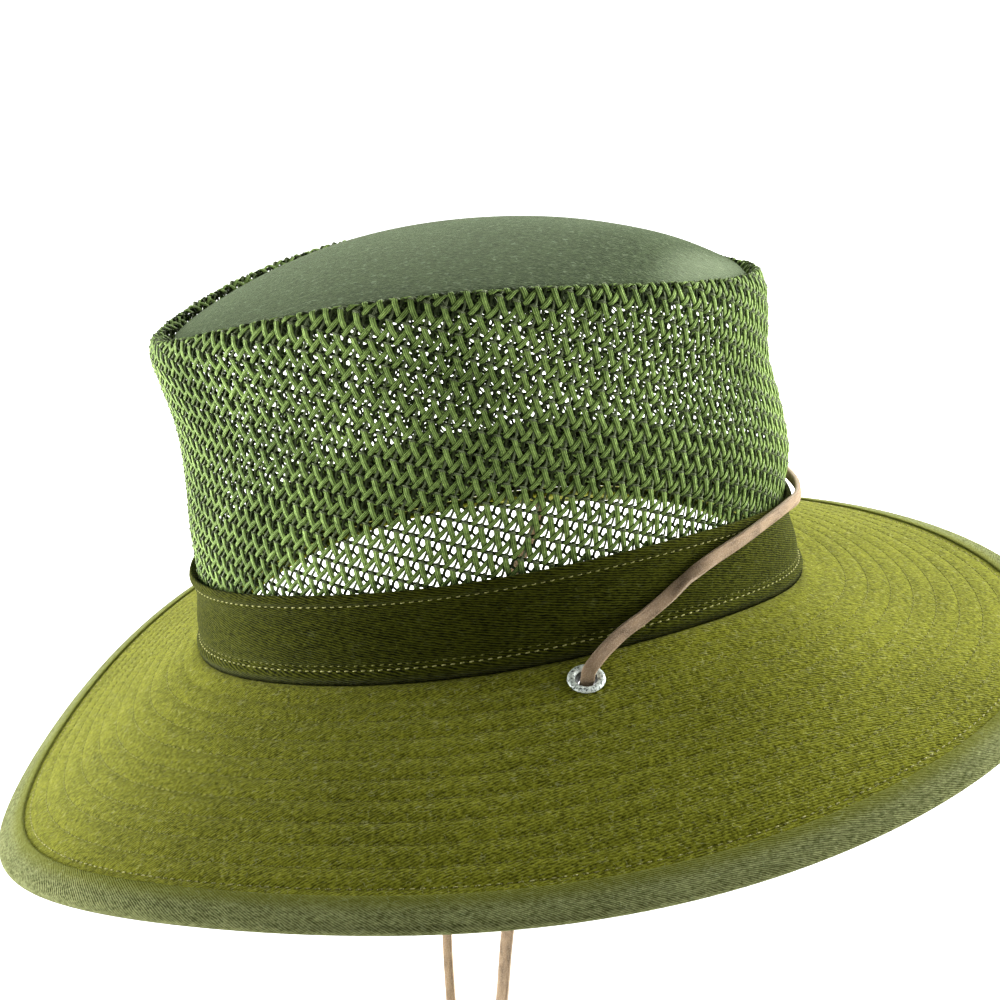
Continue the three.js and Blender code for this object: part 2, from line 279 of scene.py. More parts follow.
def unit(vectors):
    return vectors / np.linalg.norm(vectors, axis=-1, keepdims=True)


def outward(angle):
    """The level direction straight out from the head."""
    return unit(np.stack([np.sin(angle) / HEAD_HALF_WIDTH, -np.cos(angle) / HEAD_HALF_LENGTH,
                          0 * angle], axis=-1))


def smooth_route(points, steps):
    """A smooth curve through the points, with even steps between each two."""
    points = [Vector(point) for point in points]
    ends = [2 * points[0] - points[1], *points, 2 * points[-1] - points[-2]]
    route = [points[0]]
    for before, start, end, after in zip(ends, ends[1:], ends[2:], ends[3:]):
        leave, arrive = start + (end - before) / 6, end - (after - start) / 6
        route += interpolate_bezier(start, leave, arrive, end, steps + 1)[1:]
    return np.array(route)


def laid_grid(columns, rows, place, flat, fill_ends=False):
    """A grid whose corners go where place(u, v) says, with flat(u, v) as its UV map."""
    grid = bmesh.new()
    uv_map = grid.loops.layers.uv.new("flat")
    bmesh.ops.create_grid(grid, x_segments=columns, y_segments=rows, size=0.5)
    grid.verts.index_update()
    u, v, _ = (np.array([corner.co for corner in grid.verts]) + 0.5).T
    places, flats = place(u, v), flat(u, v)
    for corner in grid.verts:
        corner.co = places[corner.index]
    for face in grid.faces:
        for loop in face.loops:
            loop[uv_map].uv = flats[loop.vert.index]
    bmesh.ops.remove_doubles(grid, verts=grid.verts, dist=1e-6)
    if fill_ends:
        bmesh.ops.holes_fill(grid, edges=[edge for edge in grid.edges if edge.is_boundary])
    return grid


def leather_finish():
    leather = Finish("taupe_leather", Roughness=0.85, Specular_IOR_Level=0.2)
    flat = leather.node("UVMap", {"uv_map": "flat"})
    u = leather.node("SeparateXYZ", {}, {0: flat})
    # Both long edges are paler: partly the leather's own cut edge, partly a painted highlight.
    cut_edge_and_highlight = abs((u * (2 * math.pi) + math.pi / 2).sine()).rise(0.9, 0.985)
    along = leather.node("Mapping", {}, {"Vector": flat, "Scale": (14, 120, 1)})
    scores = leather.noise(along, 1.0, 3, 0.6)
    place = leather.solid_place()
    blotch = leather.noise(place, 160, 3)
    pores = leather.noise(place, 2600, 3, 0.65)
    # Random blotches and scores: the leather's own wear.
    wear_and_highlight = blotch * 0.45 + scores * 0.55
    colour = leather.blend(wear_and_highlight.rise(0.3, 0.62), LEATHER_DARK, LEATHER_MID)
    colour = leather.blend(pores.rise(0.42, 0.72) * 0.6, colour, LEATHER_PALE)
    colour = leather.blend(cut_edge_and_highlight * 0.5, colour, LEATHER_PALE)
    return leather.feed(Base_Color=colour, Normal=leather.bump(pores + scores, 0.00025))


leather_material = leather_finish()


def thong(name, route, facing, turn):
    """A flat strip along a route. facing is where its flat side looks, turned by turn degrees."""
    lengthways = unit(np.gradient(route, axis=0))
    facing = unit(facing - lengthways * np.sum(facing * lengthways, axis=1, keepdims=True))
    sideways = np.cross(lengthways, facing)
    lean = np.radians(turn)[:, None]
    flat_side = facing * np.cos(lean) + sideways * np.sin(lean)
    edge_side = sideways * np.cos(lean) - facing * np.sin(lean)
    gone = np.concatenate([[0], np.cumsum(np.linalg.norm(np.diff(route, axis=0), axis=1))])
    rows = len(route) - 1

    def place(u, v):
        row = np.rint(v * rows).astype(int)
        c, s = np.cos(2 * np.pi * u), np.sin(2 * np.pi * u)
        across = LACE_WIDTH / 2 * np.sign(c) * np.abs(c) ** 0.4
        through = LACE_THICKNESS / 2 * np.sign(s) * np.abs(s) ** 0.5
        return route[row] + edge_side[row] * across[:, None] + flat_side[row] * through[:, None]

    def flat(u, v):
        return np.stack([u, gone[np.rint(v * rows).astype(int)]], axis=-1)

    form = laid_grid(LACE_SIDES, rows, place, flat, fill_ends=True)
    piece = finished(name, form, leather_material)
    return piece


seam_height = around_hat(SEAM_STATIONS)
angles, heights, outs, turns = np.array(LACE_OVER_BAND).T
angles = np.radians(angles)
taper = BAND_TAPER * np.maximum(heights, 0) / BAND_HEIGHT
climb = oval(HEAD_HALF_LENGTH, HEAD_HALF_WIDTH, angles) - outward(angles) * (taper - outs)[:, None]
climb[:, 2] = seam_height(angles) + heights
over_band = np.concatenate([climb, (climb * (-1, 1, 1))[-2::-1]])
both_turns = np.concatenate([turns, -turns[-2::-1]])
both_angles = np.concatenate([angles, (2 * np.pi - angles)[-2::-1]])
route = smooth_route(over_band, LACE_STEPS)
stops = np.arange(len(route)) / LACE_STEPS
route_points = range(len(over_band))
crown_lace = thong("lace_over_crown", route, outward(np.interp(stops, route_points, both_angles)),
                   np.interp(stops, route_points, both_turns))
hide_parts("chin_lace_crown")
for side, drop, length, first_turn, last_turn in LACE_DROPS:
    route = smooth_route(drop, LACE_STEPS)
    facing = np.tile((1.0 if side == "left" else -1.0, 0.0, 0.0), (len(route), 1))
    hanging = thong(f"lace_{side}_drop", route, facing, np.linspace(first_turn, last_turn, len(route)))
    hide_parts(f"chin_lace_{side}")

# Crown mesh
# The side of the crown is a see-through warp knit: a flat green tape laid in zigzags, tied at its
# peaks by pale yarn and joined by thin dark yarns. It is sewn in as a tube and leans with its bias.
GAP = 0.0003
RIM_STATIONS = (0.1092, 0.1173, 0.1229, 0.1121, 0.1052)
RIM_SAG = 0.0028
RIM_DENT = 0.0042  # a soft dent of the rim behind on the wearer's right
RIM_DENT_ANGLE = math.radians(216)
RIM_DENT_SPREAD = math.radians(32)
CROWN_ROWS = [  # length up the wall, share of the height, half length, half width, shift back, tuck
    (0, 0, 0.1024, 0.081, 0, 0),
    (0.015, 0.13, 0.1017, 0.0803, 0, 0),
    (0.03, 0.27, 0.1017, 0.0802, 0.0003, 0),
    (0.043, 0.4, 0.1028, 0.0804, 0.0019, 0),
    (0.059, 0.55, 0.1013, 0.0795, 0.0022, 0),
    (0.077, 0.72, 0.0994, 0.0796, 0.001, 0),
    (0.094, 0.88, 0.101, 0.0824, 0.0002, 0),
    (0.102, 0.955, 0.1013, 0.0842, -0.0004, 0),
    (0.107, 1, 0.0993, 0.0831, -0.0004, 0),
    (0.111, 1, 0.097, 0.0797, 0, 0.0012),
    (0.115, 1, 0.095, 0.0777, 0, 0.004),
]
KNIT_COLUMN = 0.00474  # one repeat across, in the knit's own directions
KNIT_ROW = 0.00642  # one repeat up
KNIT_ROUND = (114, 28)  # repeats across and up that bring the knit back to where it began
KNIT_HALF_LENGTH = 0.101  # the oval that the repeats are counted on
KNIT_HALF_WIDTH = 0.0802
KNIT_ROUTE_STEPS = 12
KNIT_FALL = 0.0015  # how far the knit's rows fall in one repeat across
KNIT_LEAN = 0.0021  # how far its columns lean back in one repeat up
KNIT_DEPTH = 0.0007  # of the tape's middle below the outer face
KNIT_SPAN = (0.006, 0.116)  # where the repeats start, up the wall
TAPE_DARK = (0.06, 0.1, 0.025, 1)
TAPE_LIGHT = (0.41, 0.57, 0.18, 1)
PALE_YARN_DARK = (0.08, 0.1, 0.04, 1)
PALE_YARN_LIGHT = (0.34, 0.4, 0.24, 1)
DARK_YARN_DARK = (0.02, 0.034, 0.012, 1)
DARK_YARN_LIGHT = (0.075, 0.095, 0.036, 1)
KNIT_STRANDS = [  # name, yarn, width, thickness, sides, steps, route across, up and out of a repeat
    ("tape_down", "tape", 0.0018, 0.0008, 6, 4, (
        (-0.0004, 0.0007, -0.0002), (0.0001, 0.0001, 0.0004), (0.001, -0.0018, 0.00036),
        (0.002, -0.0035, 0.0001), (0.003, -0.0052, -0.0004))),
    ("tape_up", "tape", 0.00145, 0.0008, 6, 4, (
        (0.0021, -0.0064, 0), (0.0026, -0.0057, 0.00036), (0.0036, -0.00425, 0.0003),
        (0.00445, -0.0029, -0.0001), (0.0052, -0.0017, -0.0004))),
    ("peak_tie", "pale", 0.0008, 0.0006, 4, 5, (
        (-0.001, -0.0002, -0.0005), (-0.0008, 0.0003, 0.0002), (0.0001, 0.0005, 0.0009),
        (0.0009, 0.0002, 0.00025), (0.0011, -0.0004, -0.0005))),
    ("peak_yarn", "pale", 0.0008, 0.0008, 4, 4, (
        (0.0001, 0.0004, 0.0004), (0.00045, 0.0012, 0.0004), (0.0007, 0.0021, 0),
        (0.0008, 0.003, -0.0005), (0.0009, 0.0042, -0.0006))),
    ("valley_yarn", "dark", 0.0009, 0.0009, 4, 5, (
        (0.0027, 0.0012, -0.0003), (0.0029, 0.0002, 0.0002), (0.0026, -0.0009, 0.0003),
        (0.0027, -0.0019, 0.0003), (0.0022, -0.0027, -0.0003), (0.0019, -0.0036, -0.0006))),
    ("row_yarn", "dark", 0.0011, 0.0009, 4, 4, (
        (0, 0.0002, -0.0006), (0.0012, 0.0002, -0.0003), (0.0025, 0.0004, -0.0006),
        (0.0036, 0.0002, -0.0003), (0.00474, 0.0002, -0.0006))),
    ("middle_yarn", "dark", 0.00075, 0.0008, 4, 5, (
        (0.0008, -0.0019, -0.0006), (0.0018, -0.002, -0.0003), (0.0027, -0.0019, -0.0001),
        (0.0034, -0.0024, -0.0002), (0.0041, -0.00265, -0.0003), (0.0047, -0.0024, -0.0006))),
]


def through_rows(rows):
    """A smooth curve through the rows of a table, by its first column."""
    table = np.array(rows, float)
    knots, values = table[:, 0], table[:, 1:]
    slopes = np.gradient(values, knots, axis=0)

    def at(place):
        i = np.clip(np.searchsorted(knots, place) - 1, 0, len(knots) - 2)
        width = (knots[i + 1] - knots[i])[..., None]
        t = (place - knots[i])[..., None] / width
        rise = values[i + 1] - values[i]
        bend_in, bend_out = slopes[i] * width - rise, rise - slopes[i + 1] * width
        return values[i] + t * rise + t * (1 - t) * ((1 - t) * bend_in + t * bend_out)

    return at


even_rim = around_hat(RIM_STATIONS)
crown_row = through_rows(CROWN_ROWS)


def rim_dent(angle):
    return np.exp(-((angle % (2 * np.pi) - RIM_DENT_ANGLE) / RIM_DENT_SPREAD) ** 2)


def rim_height(angle):
    sag = RIM_SAG * np.maximum(0, -np.sin(angle)) ** 4
    return even_rim(angle) - sag - RIM_DENT * rim_dent(angle)


def crown_surface(along, angle):
    share, half_length, half_width, shift, tuck = np.moveaxis(crown_row(along), -1, 0)
    foot = seam_height(angle) + GAP
    place = oval(half_length, half_width, angle)
    place[..., 1] += shift
    place[..., 2] = foot + share * (rim_height(angle) - foot) - tuck
    return place


def square_to(surface, along, angle):
    """The direction straight out of a surface."""
    step, turn = 0.0004, 0.01
    lengthways = surface(along + step, angle) - surface(along - step, angle)
    sideways = surface(along, angle + turn) - surface(along, angle - turn)
    return unit(np.cross(sideways, lengthways))


def bar(sides, steps):
    """Corners and faces of a closed bar along Z, from 0 to 1, with one for its radius."""
    form = bmesh.new()
    bmesh.ops.create_cone(form, cap_ends=True, segments=sides, radius1=1, radius2=1, depth=1)
    upright = [edge for edge in form.edges if abs(edge.verts[0].co.z - edge.verts[1].co.z) > 0.5]
    bmesh.ops.subdivide_edges(form, edges=upright, cuts=steps - 1)
    bmesh.ops.recalc_face_normals(form, faces=form.faces)
    form.verts.index_update()
    corners = np.array([corner.co for corner in form.verts]) + (0, 0, 0.5)
    faces = [[corner.index for corner in face.verts] for face in form.faces]
    form.free()
    return corners, faces


def joined_copies(name, places, faces, material, flats):
    """One piece from many copies of a form. places holds the corners of each copy, flats their UV."""
    copies, corners = places.shape[:2]
    firsts = (np.arange(copies) * corners).tolist()
    mesh = bpy.data.meshes.new(name)
    mesh.from_pydata(places.reshape(-1, 3), [],
                     [[first + i for i in face] for first in firsts for face in faces])
    uv_map = mesh.uv_layers.new(name="strand")
    one_copy = np.concatenate([flats[face] for face in faces])
    uv_map.data.foreach_set("uv", np.tile(one_copy, (copies, 1)).ravel())
    mesh.shade_smooth()
    mesh.materials.append(material)
    piece = bpy.data.objects.new(name, mesh)
    bpy.context.scene.collection.objects.link(piece)
    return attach(piece, "root")


def knit_finish(name, dark, light, filaments):
    """Yarn of a few filaments side by side, paler in patches of wear."""
    knit = Finish(name, Roughness=0.7, Specular_IOR_Level=0.15)
    across = knit.node("SeparateXYZ", {}, {0: knit.node("UVMap", {"uv_map": "strand"})})
    lines = (across * (2 * math.pi * filaments) - math.pi / 2).sine()
    place = knit.solid_place()
    patches = knit.noise(place, 45, 3)
    wear = knit.noise(place, 700, 3, 0.6)
    fibres = knit.noise(place, 4200, 2, 0.6)
    share = (patches * 0.35 + wear * 0.6 + fibres * 0.3 + lines * 0.12).rise(0.34, 0.94)
    colour = knit.blend(share, dark, light)
    return knit.feed(Base_Color=colour, Normal=knit.bump(fibres + lines * 0.55, 0.00014))


columns_round, rows_round = KNIT_ROUND
knit_oval = np.linspace(0, 2 * np.pi, 721)
knit_girth = np.linalg.norm(np.diff(oval(KNIT_HALF_LENGTH, KNIT_HALF_WIDTH, knit_oval), axis=0), axis=1)
knit_share = np.concatenate([[0], np.cumsum(knit_girth)]) / knit_girth.sum()
lean_share = KNIT_LEAN / knit_girth.sum()
across_share = (1 - rows_round * lean_share) / columns_round
climb_of_row = columns_round * KNIT_FALL / rows_round


def on_crown(across, up, out):
    """Places of points given in repeats across and up the knit and a distance out of it."""
    share = across * across_share + up * lean_share
    along = up * climb_of_row - across * KNIT_FALL
    angle = np.interp(share % 1, knit_share, knit_oval)
    normal = square_to(crown_surface, along, angle)
    return crown_surface(along, angle) + normal * (out - KNIT_DEPTH)[..., None]


repeats = []
for column in range(columns_round):
    lowest = math.ceil((KNIT_SPAN[0] + column * KNIT_FALL) / climb_of_row)
    highest = math.floor((KNIT_SPAN[1] + column * KNIT_FALL) / climb_of_row)
    repeats += [(column, row) for row in range(lowest, highest + 1)]
repeats = np.array(repeats, float)

knit_materials = {
    "tape": knit_finish("knit_tape", TAPE_DARK, TAPE_LIGHT, 3),
    "pale": knit_finish("knit_pale_yarn", PALE_YARN_DARK, PALE_YARN_LIGHT, 2),
    "dark": knit_finish("knit_dark_yarn", DARK_YARN_DARK, DARK_YARN_LIGHT, 2),
}
for name, yarn, width, thickness, sides, steps, route in KNIT_STRANDS:
    corners, faces = bar(sides, steps)
    curve = smooth_route(route, KNIT_ROUTE_STEPS)
    curve = curve[np.rint(np.linspace(0, len(curve) - 1, steps + 1)).astype(int)]
    lengthways = unit(np.gradient(curve, axis=0)[:, :2])
    sideways = np.stack([lengthways[:, 1], -lengthways[:, 0]], axis=1)
    step = np.rint(corners[:, 2] * steps).astype(int)
    x, y = (curve[step, :2] + sideways[step] * corners[:, 1:2] * width / 2).T
    out = curve[step, 2] + corners[:, 0] * thickness / 2
    places = on_crown(repeats[:, :1] + x / KNIT_COLUMN, repeats[:, 1:] + y / KNIT_ROW,
                      np.tile(out, (len(repeats), 1)))
    flats = np.stack([corners[:, 1] * 0.5 + 0.5, corners[:, 2]], axis=-1)
    strands = joined_copies("knit_" + name, places, faces, knit_materials[yarn], flats)
    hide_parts("crown_mesh")

# Crown tip
# The top of the crown is one oval of brushed cotton twill. Its edge is turned down inside the
# rolled rim and sewn to the knit, and it is domed a little by wear.
TIP_WALL = 0.0015
TIP_HALF_LENGTH = 0.0944
TIP_HALF_WIDTH = 0.0771
TIP_SINK = 0.0018
TIP_PEAK = 0.1295
TIP_FALL = 2.2
TIP_TURN_DOWN = 0.0012
TIP_TURN_START = 0.97  # where it starts, as a share of the reach to the seam
TIP_SEAM_ROW = 0.9  # where the seam runs, as a share of the cloth's reach
TIP_SEAM_EDGE = 0.042  # how far the cloth runs on under the rolled knit, as a share of its size
TIP_SEAM_DROP = 0.0026
TIP_SEAM_STEEPNESS = 6
TIP_SPILL = 0.045  # how far the tip reaches over the dent of the rim, as a share of its size
TIP_LIFT = 0.0028  # how much higher its edge lies there
TIP_RIDGE = 0.003  # a soft ridge across the tip behind on the wearer's left
TIP_RIDGE_PLACE = 0.066
TIP_RIDGE_SLOPES = (0.026, 0.015)
TIP_RIDGE_ANGLE = math.radians(155)
TIP_RIDGE_SPREAD = math.radians(34)
TIP_RIDGE_END = 8  # how suddenly the ridge ends at the seam
TIP_DARK = (0.018, 0.028, 0.012, 1)
TIP_LIGHT = (0.09, 0.124, 0.057, 1)
TIP_FUZZ = (0.42, 0.5, 0.33, 1)
TIP_PAINTED_HIGHLIGHT = ((0.035, 0.077, 0), math.radians(-27), (0.05, 0.015, 1))  # a pale spot on the ridge: painted highlight where light falls
FUZZ_PALE = (0.42, 0.46, 0.26, 1)


def twill_finish(name, dark, light, pale, slant, spacing, rib, grain, fuzz, sheen,
                 lay=(0.9, 0.5, 1), inner=None, wear_and_highlight=None):
    """Cotton twill: fine slanting ribs, uneven dye, a brushed grain and short pale fibres.

    lay stretches the nap. inner is a colour along the strip's first edge and the widths between
    which it fades. The last argument is the middle, turn and size of a painted highlight.
    """
    twill = Finish(name, Roughness=0.95, Specular_IOR_Level=0.05, Sheen_Weight=sheen,
                   Sheen_Roughness=0.4, Sheen_Tint=pale)
    flat = twill.node("UVMap", {"uv_map": "flat"})
    along_ribs = twill.node("Mapping", {}, {"Vector": flat, "Rotation": (0, 0, -math.radians(slant))})
    wander = twill.noise(along_ribs, 260, 2)
    across = twill.node("SeparateXYZ", {}, {0: along_ribs}, 1)
    ribs = ((across + wander * 0.0007) * (2 * math.pi / spacing)).sine() * 0.5
    floats_place = twill.node("Mapping", {}, {"Vector": along_ribs, "Scale": (0.4, 1.3, 1)})
    floats = twill.noise(floats_place, 1500, 2, 0.6) - 0.5
    nap = twill.node("Mapping", {}, {"Vector": flat, "Scale": lay})
    brushed = twill.noise(nap, 1500, 3, 0.6) - 0.5
    tufts = twill.noise(nap, 520, 3, 0.6) - 0.5
    dye = twill.noise(flat, 26, 4, 0.6) - 0.5
    weave = ribs * rib + floats * (0.5 + rib) + (brushed * 1.9 + tufts * 0.9) * grain
    colour = twill.blend((weave + dye * 0.35).rise(-0.5, 0.5), dark, light)
    if inner:
        edge_colour, fade = inner
        near_edge = 1 - twill.node("SeparateXYZ", {}, {0: flat}, 1).rise(*fade)
        colour = twill.blend(near_edge * 0.7, colour, edge_colour)
    # A pale spot of painted highlight, standing in for light falling on the tip's ridge.
    if wear_and_highlight:
        middle, turn, size = wear_and_highlight
        spot = twill.node("Mapping", {"vector_type": "TEXTURE"},
                          {"Vector": flat, "Location": middle, "Rotation": (0, 0, turn), "Scale": size})
        far = twill.node("VectorMath", {"operation": "LENGTH"}, {0: spot}, 1)
        colour = twill.blend((1 - far.rise(0.2, 1)) * 0.3, colour, pale)
    hairs = 1 - abs(twill.noise(nap, 620, 1) - 0.5).rise(0.0, 0.04)
    patches = twill.noise(flat, 330, 2).rise(0.46, 0.62)
    colour = twill.blend((hairs * patches + brushed.rise(0.12, 0.28) * 0.6) * fuzz, colour, pale)
    relief = twill.bump(weave + hairs * patches * fuzz, 0.00035, 0.9)
    return twill.feed(Base_Color=colour, Normal=relief)


def tip_place(u, v):
    angle, reach = 2 * np.pi * u, np.minimum(v / TIP_SEAM_ROW, 1)
    under = np.clip((v - TIP_SEAM_ROW) / (1 - TIP_SEAM_ROW), 0, 1) * (1 - rim_dent(angle))
    edge = rim_height(angle) - TIP_SINK + TIP_LIFT * rim_dent(angle)
    spread = reach * (1 + TIP_SPILL * rim_dent(angle)) + TIP_SEAM_EDGE * under
    place = oval(TIP_HALF_LENGTH * spread, TIP_HALF_WIDTH * spread, angle)
    turn_down = TIP_TURN_DOWN * np.clip((reach - TIP_TURN_START) / (1 - TIP_TURN_START), 0, 1) ** 2
    sideways, forwards = math.sin(TIP_RIDGE_ANGLE), math.cos(TIP_RIDGE_ANGLE)
    beyond = place[:, 0] * sideways - place[:, 1] * forwards - TIP_RIDGE_PLACE
    slope = np.where(beyond < 0, *TIP_RIDGE_SLOPES)
    round_hat = (angle - TIP_RIDGE_ANGLE) / TIP_RIDGE_SPREAD
    ridge = TIP_RIDGE * np.exp(-(beyond / slope) ** 2 - round_hat ** 2) * (1 - reach ** TIP_RIDGE_END)
    dome = TIP_PEAK - (TIP_PEAK - edge) * reach ** TIP_FALL
    drop = TIP_SEAM_DROP * np.minimum(TIP_SEAM_STEEPNESS * under, 1)
    place[:, 2] = dome - turn_down + ridge - drop
    return place


def tip_flat(u, v):
    reach = v / TIP_SEAM_ROW
    reach = np.where(reach < 1, reach, 1 + TIP_SEAM_EDGE * (v - TIP_SEAM_ROW) / (1 - TIP_SEAM_ROW))
    return oval(TIP_HALF_LENGTH * reach, TIP_HALF_WIDTH * reach, 2 * np.pi * u)[:, :2]


tip_cloth = twill_finish("tip_twill", TIP_DARK, TIP_LIGHT, TIP_FUZZ, slant=70, spacing=0.0008,
                         rib=0.2, grain=0.9, fuzz=0.3, sheen=0.4, wear_and_highlight=TIP_PAINTED_HIGHLIGHT)
tip = finished("tip_panel", laid_grid(160, 60, tip_place, tip_flat), tip_cloth)
thick = tip.modifiers.new("wall", "SOLIDIFY")
thick.thickness = TIP_WALL
thick.offset = -1
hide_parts("crown_tip")

# Band
# A strip of dark olive twill round the foot of the crown, hemmed along both edges. One row of
# stitches holds its upper hem and two rows sew it to the brim seam.
BAND_WALL = 0.0012
BAND_GIRTH = 0.5958
BAND_FREE_EDGE = 0.0026  # how high the loose lower fold stands over the brim
BAND_ROWS = [  # share of the height, how far the face stands out
    (0, 0.002), (0.08, 0.0016), (0.17, 0.0004), (0.3, 0.0002), (0.42, 0.0001), (0.56, -0.0005),
    (0.68, -0.0009), (0.78, -0.0007), (0.86, -0.0001), (0.93, 0.0008), (1, 0.0003),
]
BAND_STITCHES = (0.0044, 0.0247)  # heights of the bright rows
BAND_DULL_STITCHES = (0.0059,)
BAND_HEM_ROUND = 0.0003
STITCH_SINK = 0.0004
STITCH_SINK_WIDTH = 0.0007
STITCH_PITCH = 0.0028
STITCH_LENGTH = 0.0021
STITCH_SLANT = 0.1
STITCH_LIFT = 0.35  # of its middle above the cloth, as a share of the thread
STITCH_ARCH = 3.2  # how much its ends dip
STITCH_TAPER = 1.6  # how much its ends thin
THREAD = 0.00046
BAND_LAY = (0.35, 0.7, 1)
BAND_DARK = (0.006, 0.0075, 0.001, 1)
BAND_LIGHT = (0.098, 0.107, 0.013, 1)
THREAD_DARK = (0.3, 0.3, 0.1, 1)
THREAD_LIGHT = (0.62, 0.6, 0.28, 1)
# Painted shade at the ends of each stitch, where the thread goes into its hole.
THREAD_HOLE_SHADE = (0.012, 0.013, 0.004, 1)
ROUND_HAT = 240

band_row = through_rows(BAND_ROWS)


def band_surface(height, angle):
    share = height / BAND_HEIGHT
    grow = band_row(share)[..., 0] - BAND_TAPER * share
    for row in BAND_STITCHES + BAND_DULL_STITCHES:
        grow = grow - STITCH_SINK * np.exp(-((height - row) / STITCH_SINK_WIDTH) ** 2)
    place = oval(HEAD_HALF_LENGTH + grow, HEAD_HALF_WIDTH + grow, angle)
    place[..., 2] = seam_height(angle) + GAP + height
    return place


def ring_of_cloth(surface, section, girth, flat=None):
    """A closed section of (along, depth) points carried round the hat on a surface."""
    section = np.array(section + section[:1])
    rows = len(section) - 1
    gone = np.concatenate([[0], np.cumsum(np.linalg.norm(np.diff(section, axis=0), axis=1))])

    def at(u, v):
        along, depth = section[np.rint(v * rows).astype(int)].T
        return along, depth, 2 * np.pi * u

    def place(u, v):
        along, depth, angle = at(u, v)
        return surface(along, angle) - square_to(surface, along, angle) * depth[:, None]

    def strip(u, v):
        return np.stack([u * girth, gone[np.rint(v * rows).astype(int)]], axis=-1)

    def sheet(u, v):
        along, _, angle = at(u, v)
        return flat(along, angle)

    return laid_grid(ROUND_HAT, rows, place, sheet if flat else strip)


def thread_finish(name, dark, light):
    """Sewing thread, with painted shade near black at its ends, where it goes into the cloth."""
    thread = Finish(name, Roughness=0.7, Specular_IOR_Level=0.2)
    along = thread.node("SeparateXYZ", {}, {0: thread.node("UVMap", {"uv_map": "strand"})}, 1)
    place = thread.solid_place()
    ply = thread.noise(place, 1800, 2)
    colour = thread.blend(ply.rise(0.35, 0.7), dark, light)
    # Painted shade: both ends of each stitch turn near black.
    colour = thread.blend(abs(along - 0.5).rise(0.26, 0.4), colour, THREAD_HOLE_SHADE)
    return thread.feed(Base_Color=colour, Normal=thread.bump(ply, 0.0001))


def stitch_rows(name, surface, rows, material, lift=0.0, thread=THREAD):
    """Rows of stitches round the hat on a surface, raised by lift."""
    corners, faces = bar(4, 4)
    span = corners[:, 2] - 0.5
    plump = 1 - STITCH_TAPER * span ** 2
    angles = np.linspace(0, 2 * np.pi, 1441)
    places = []
    for number, row in enumerate(rows):
        line = surface(np.full_like(angles, row), angles)
        gone = np.concatenate([[0], np.cumsum(np.linalg.norm(np.diff(line, axis=0), axis=1))])
        count = round(gone[-1] / STITCH_PITCH)
        middles = (np.arange(count) + 0.37 * number % 1) * gone[-1] / count
        angle = np.interp(middles % gone[-1], gone, angles)
        along = np.full_like(angle, row)
        normal = square_to(surface, along, angle)
        centre = surface(along, angle) + normal * lift
        ahead = surface(along, angle + 0.002) - centre
        ahead = unit(ahead - normal * np.sum(ahead * normal, axis=1, keepdims=True))
        beside = np.cross(normal, ahead)
        ahead = ahead + beside * STITCH_SLANT
        places.append(
            centre[:, None]
            + ahead[:, None] * (span * STITCH_LENGTH)[:, None]
            + beside[:, None] * (corners[:, 0] * plump * thread / 2)[:, None]
            + normal[:, None] * (corners[:, 1] * plump * thread / 2
                                 + thread * (STITCH_LIFT - STITCH_ARCH * span ** 2))[:, None])
    flats = np.stack([corners[:, 0] * 0.5 + 0.5, corners[:, 2]], axis=-1)
    return joined_copies(name, np.concatenate(places), faces, material, flats)


hem_start = BAND_HEIGHT - BAND_HEM_ROUND
hem = [(hem_start, 0), (BAND_HEIGHT, BAND_WALL / 4), (BAND_HEIGHT, 3 * BAND_WALL / 4),
       (hem_start, BAND_WALL)]
free_edge = [(BAND_FREE_EDGE - 0.0002, BAND_WALL / 2), (BAND_FREE_EDGE, BAND_WALL / 8)]
face_heights = np.linspace(BAND_FREE_EDGE + BAND_HEM_ROUND, hem_start - BAND_HEM_ROUND, 64)
band_face = [(height, 0) for height in face_heights]
band_back = [(height, BAND_WALL) for height in np.linspace(BAND_HEIGHT - 0.002, 0.0002, 12)]
band_form = ring_of_cloth(band_surface, free_edge + band_face + hem + band_back, BAND_GIRTH)
band_cloth = twill_finish("band_twill", BAND_DARK, BAND_LIGHT, FUZZ_PALE, slant=-14, spacing=0.00075,
                          rib=0.5, grain=0.5, fuzz=0.06, sheen=0.16, lay=BAND_LAY)
band = finished("band_strip", band_form, band_cloth)
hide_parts("band")
band_thread = stitch_rows("band_stitches", band_surface, BAND_STITCHES,
                          thread_finish("band_thread", THREAD_DARK, THREAD_LIGHT))
dull_thread = stitch_rows("band_dull_stitches", band_surface, BAND_DULL_STITCHES,
                          thread_finish("band_dull_thread", BAND_LIGHT, THREAD_DARK))

# Brim
# Two layers of brushed olive twill, sewn together by rows of stitches in the cloth's own colour
# that run round the brim. It droops from the seam, most at the front.
DROOP_STATIONS = (31.5, 19.4, 20.2, 19.9, 15.3)  # degrees, evenly from the front to the back
BRIM_WIDTH = 0.0889
BRIM_WALL = 0.0016
BRIM_BEND = 0.003
BRIM_LIP = 0.005
BINDING_WALL = 0.0008
BRIM_STITCHES = [0.008 + 0.0076 * row for row in range(9)]
BRIM_EDGE_STITCHES = 0.0755
BRIM_QUILT = 0.00034  # how deep a row of stitches pulls in
BRIM_QUILT_WIDTH = 0.0009
BRIM_FURROW = 0.0006  # half the width of the furrow's faces
BRIM_THREAD = 0.0004
EYELET_ANGLE = math.radians(101.5)
EYELET_OUT = 0.0098
EYELET_BARREL = 0.0037
EYELET_CUT = 0.0006  # how far past the barrel the cloth's faces are cut
EYELET_CUT_REACH = 0.01
BRIM_DARK = (0.045, 0.048, 0.002, 1)
BRIM_LIGHT = (0.292, 0.306, 0.034, 1)
BRIM_FUZZ = (0.5, 0.51, 0.26, 1)
BRIM_THREAD_DARK = (0.12, 0.125, 0.018, 1)
BRIM_THREAD_LIGHT = (0.36, 0.36, 0.1, 1)

brim_droop = around_hat(np.radians(DROOP_STATIONS))


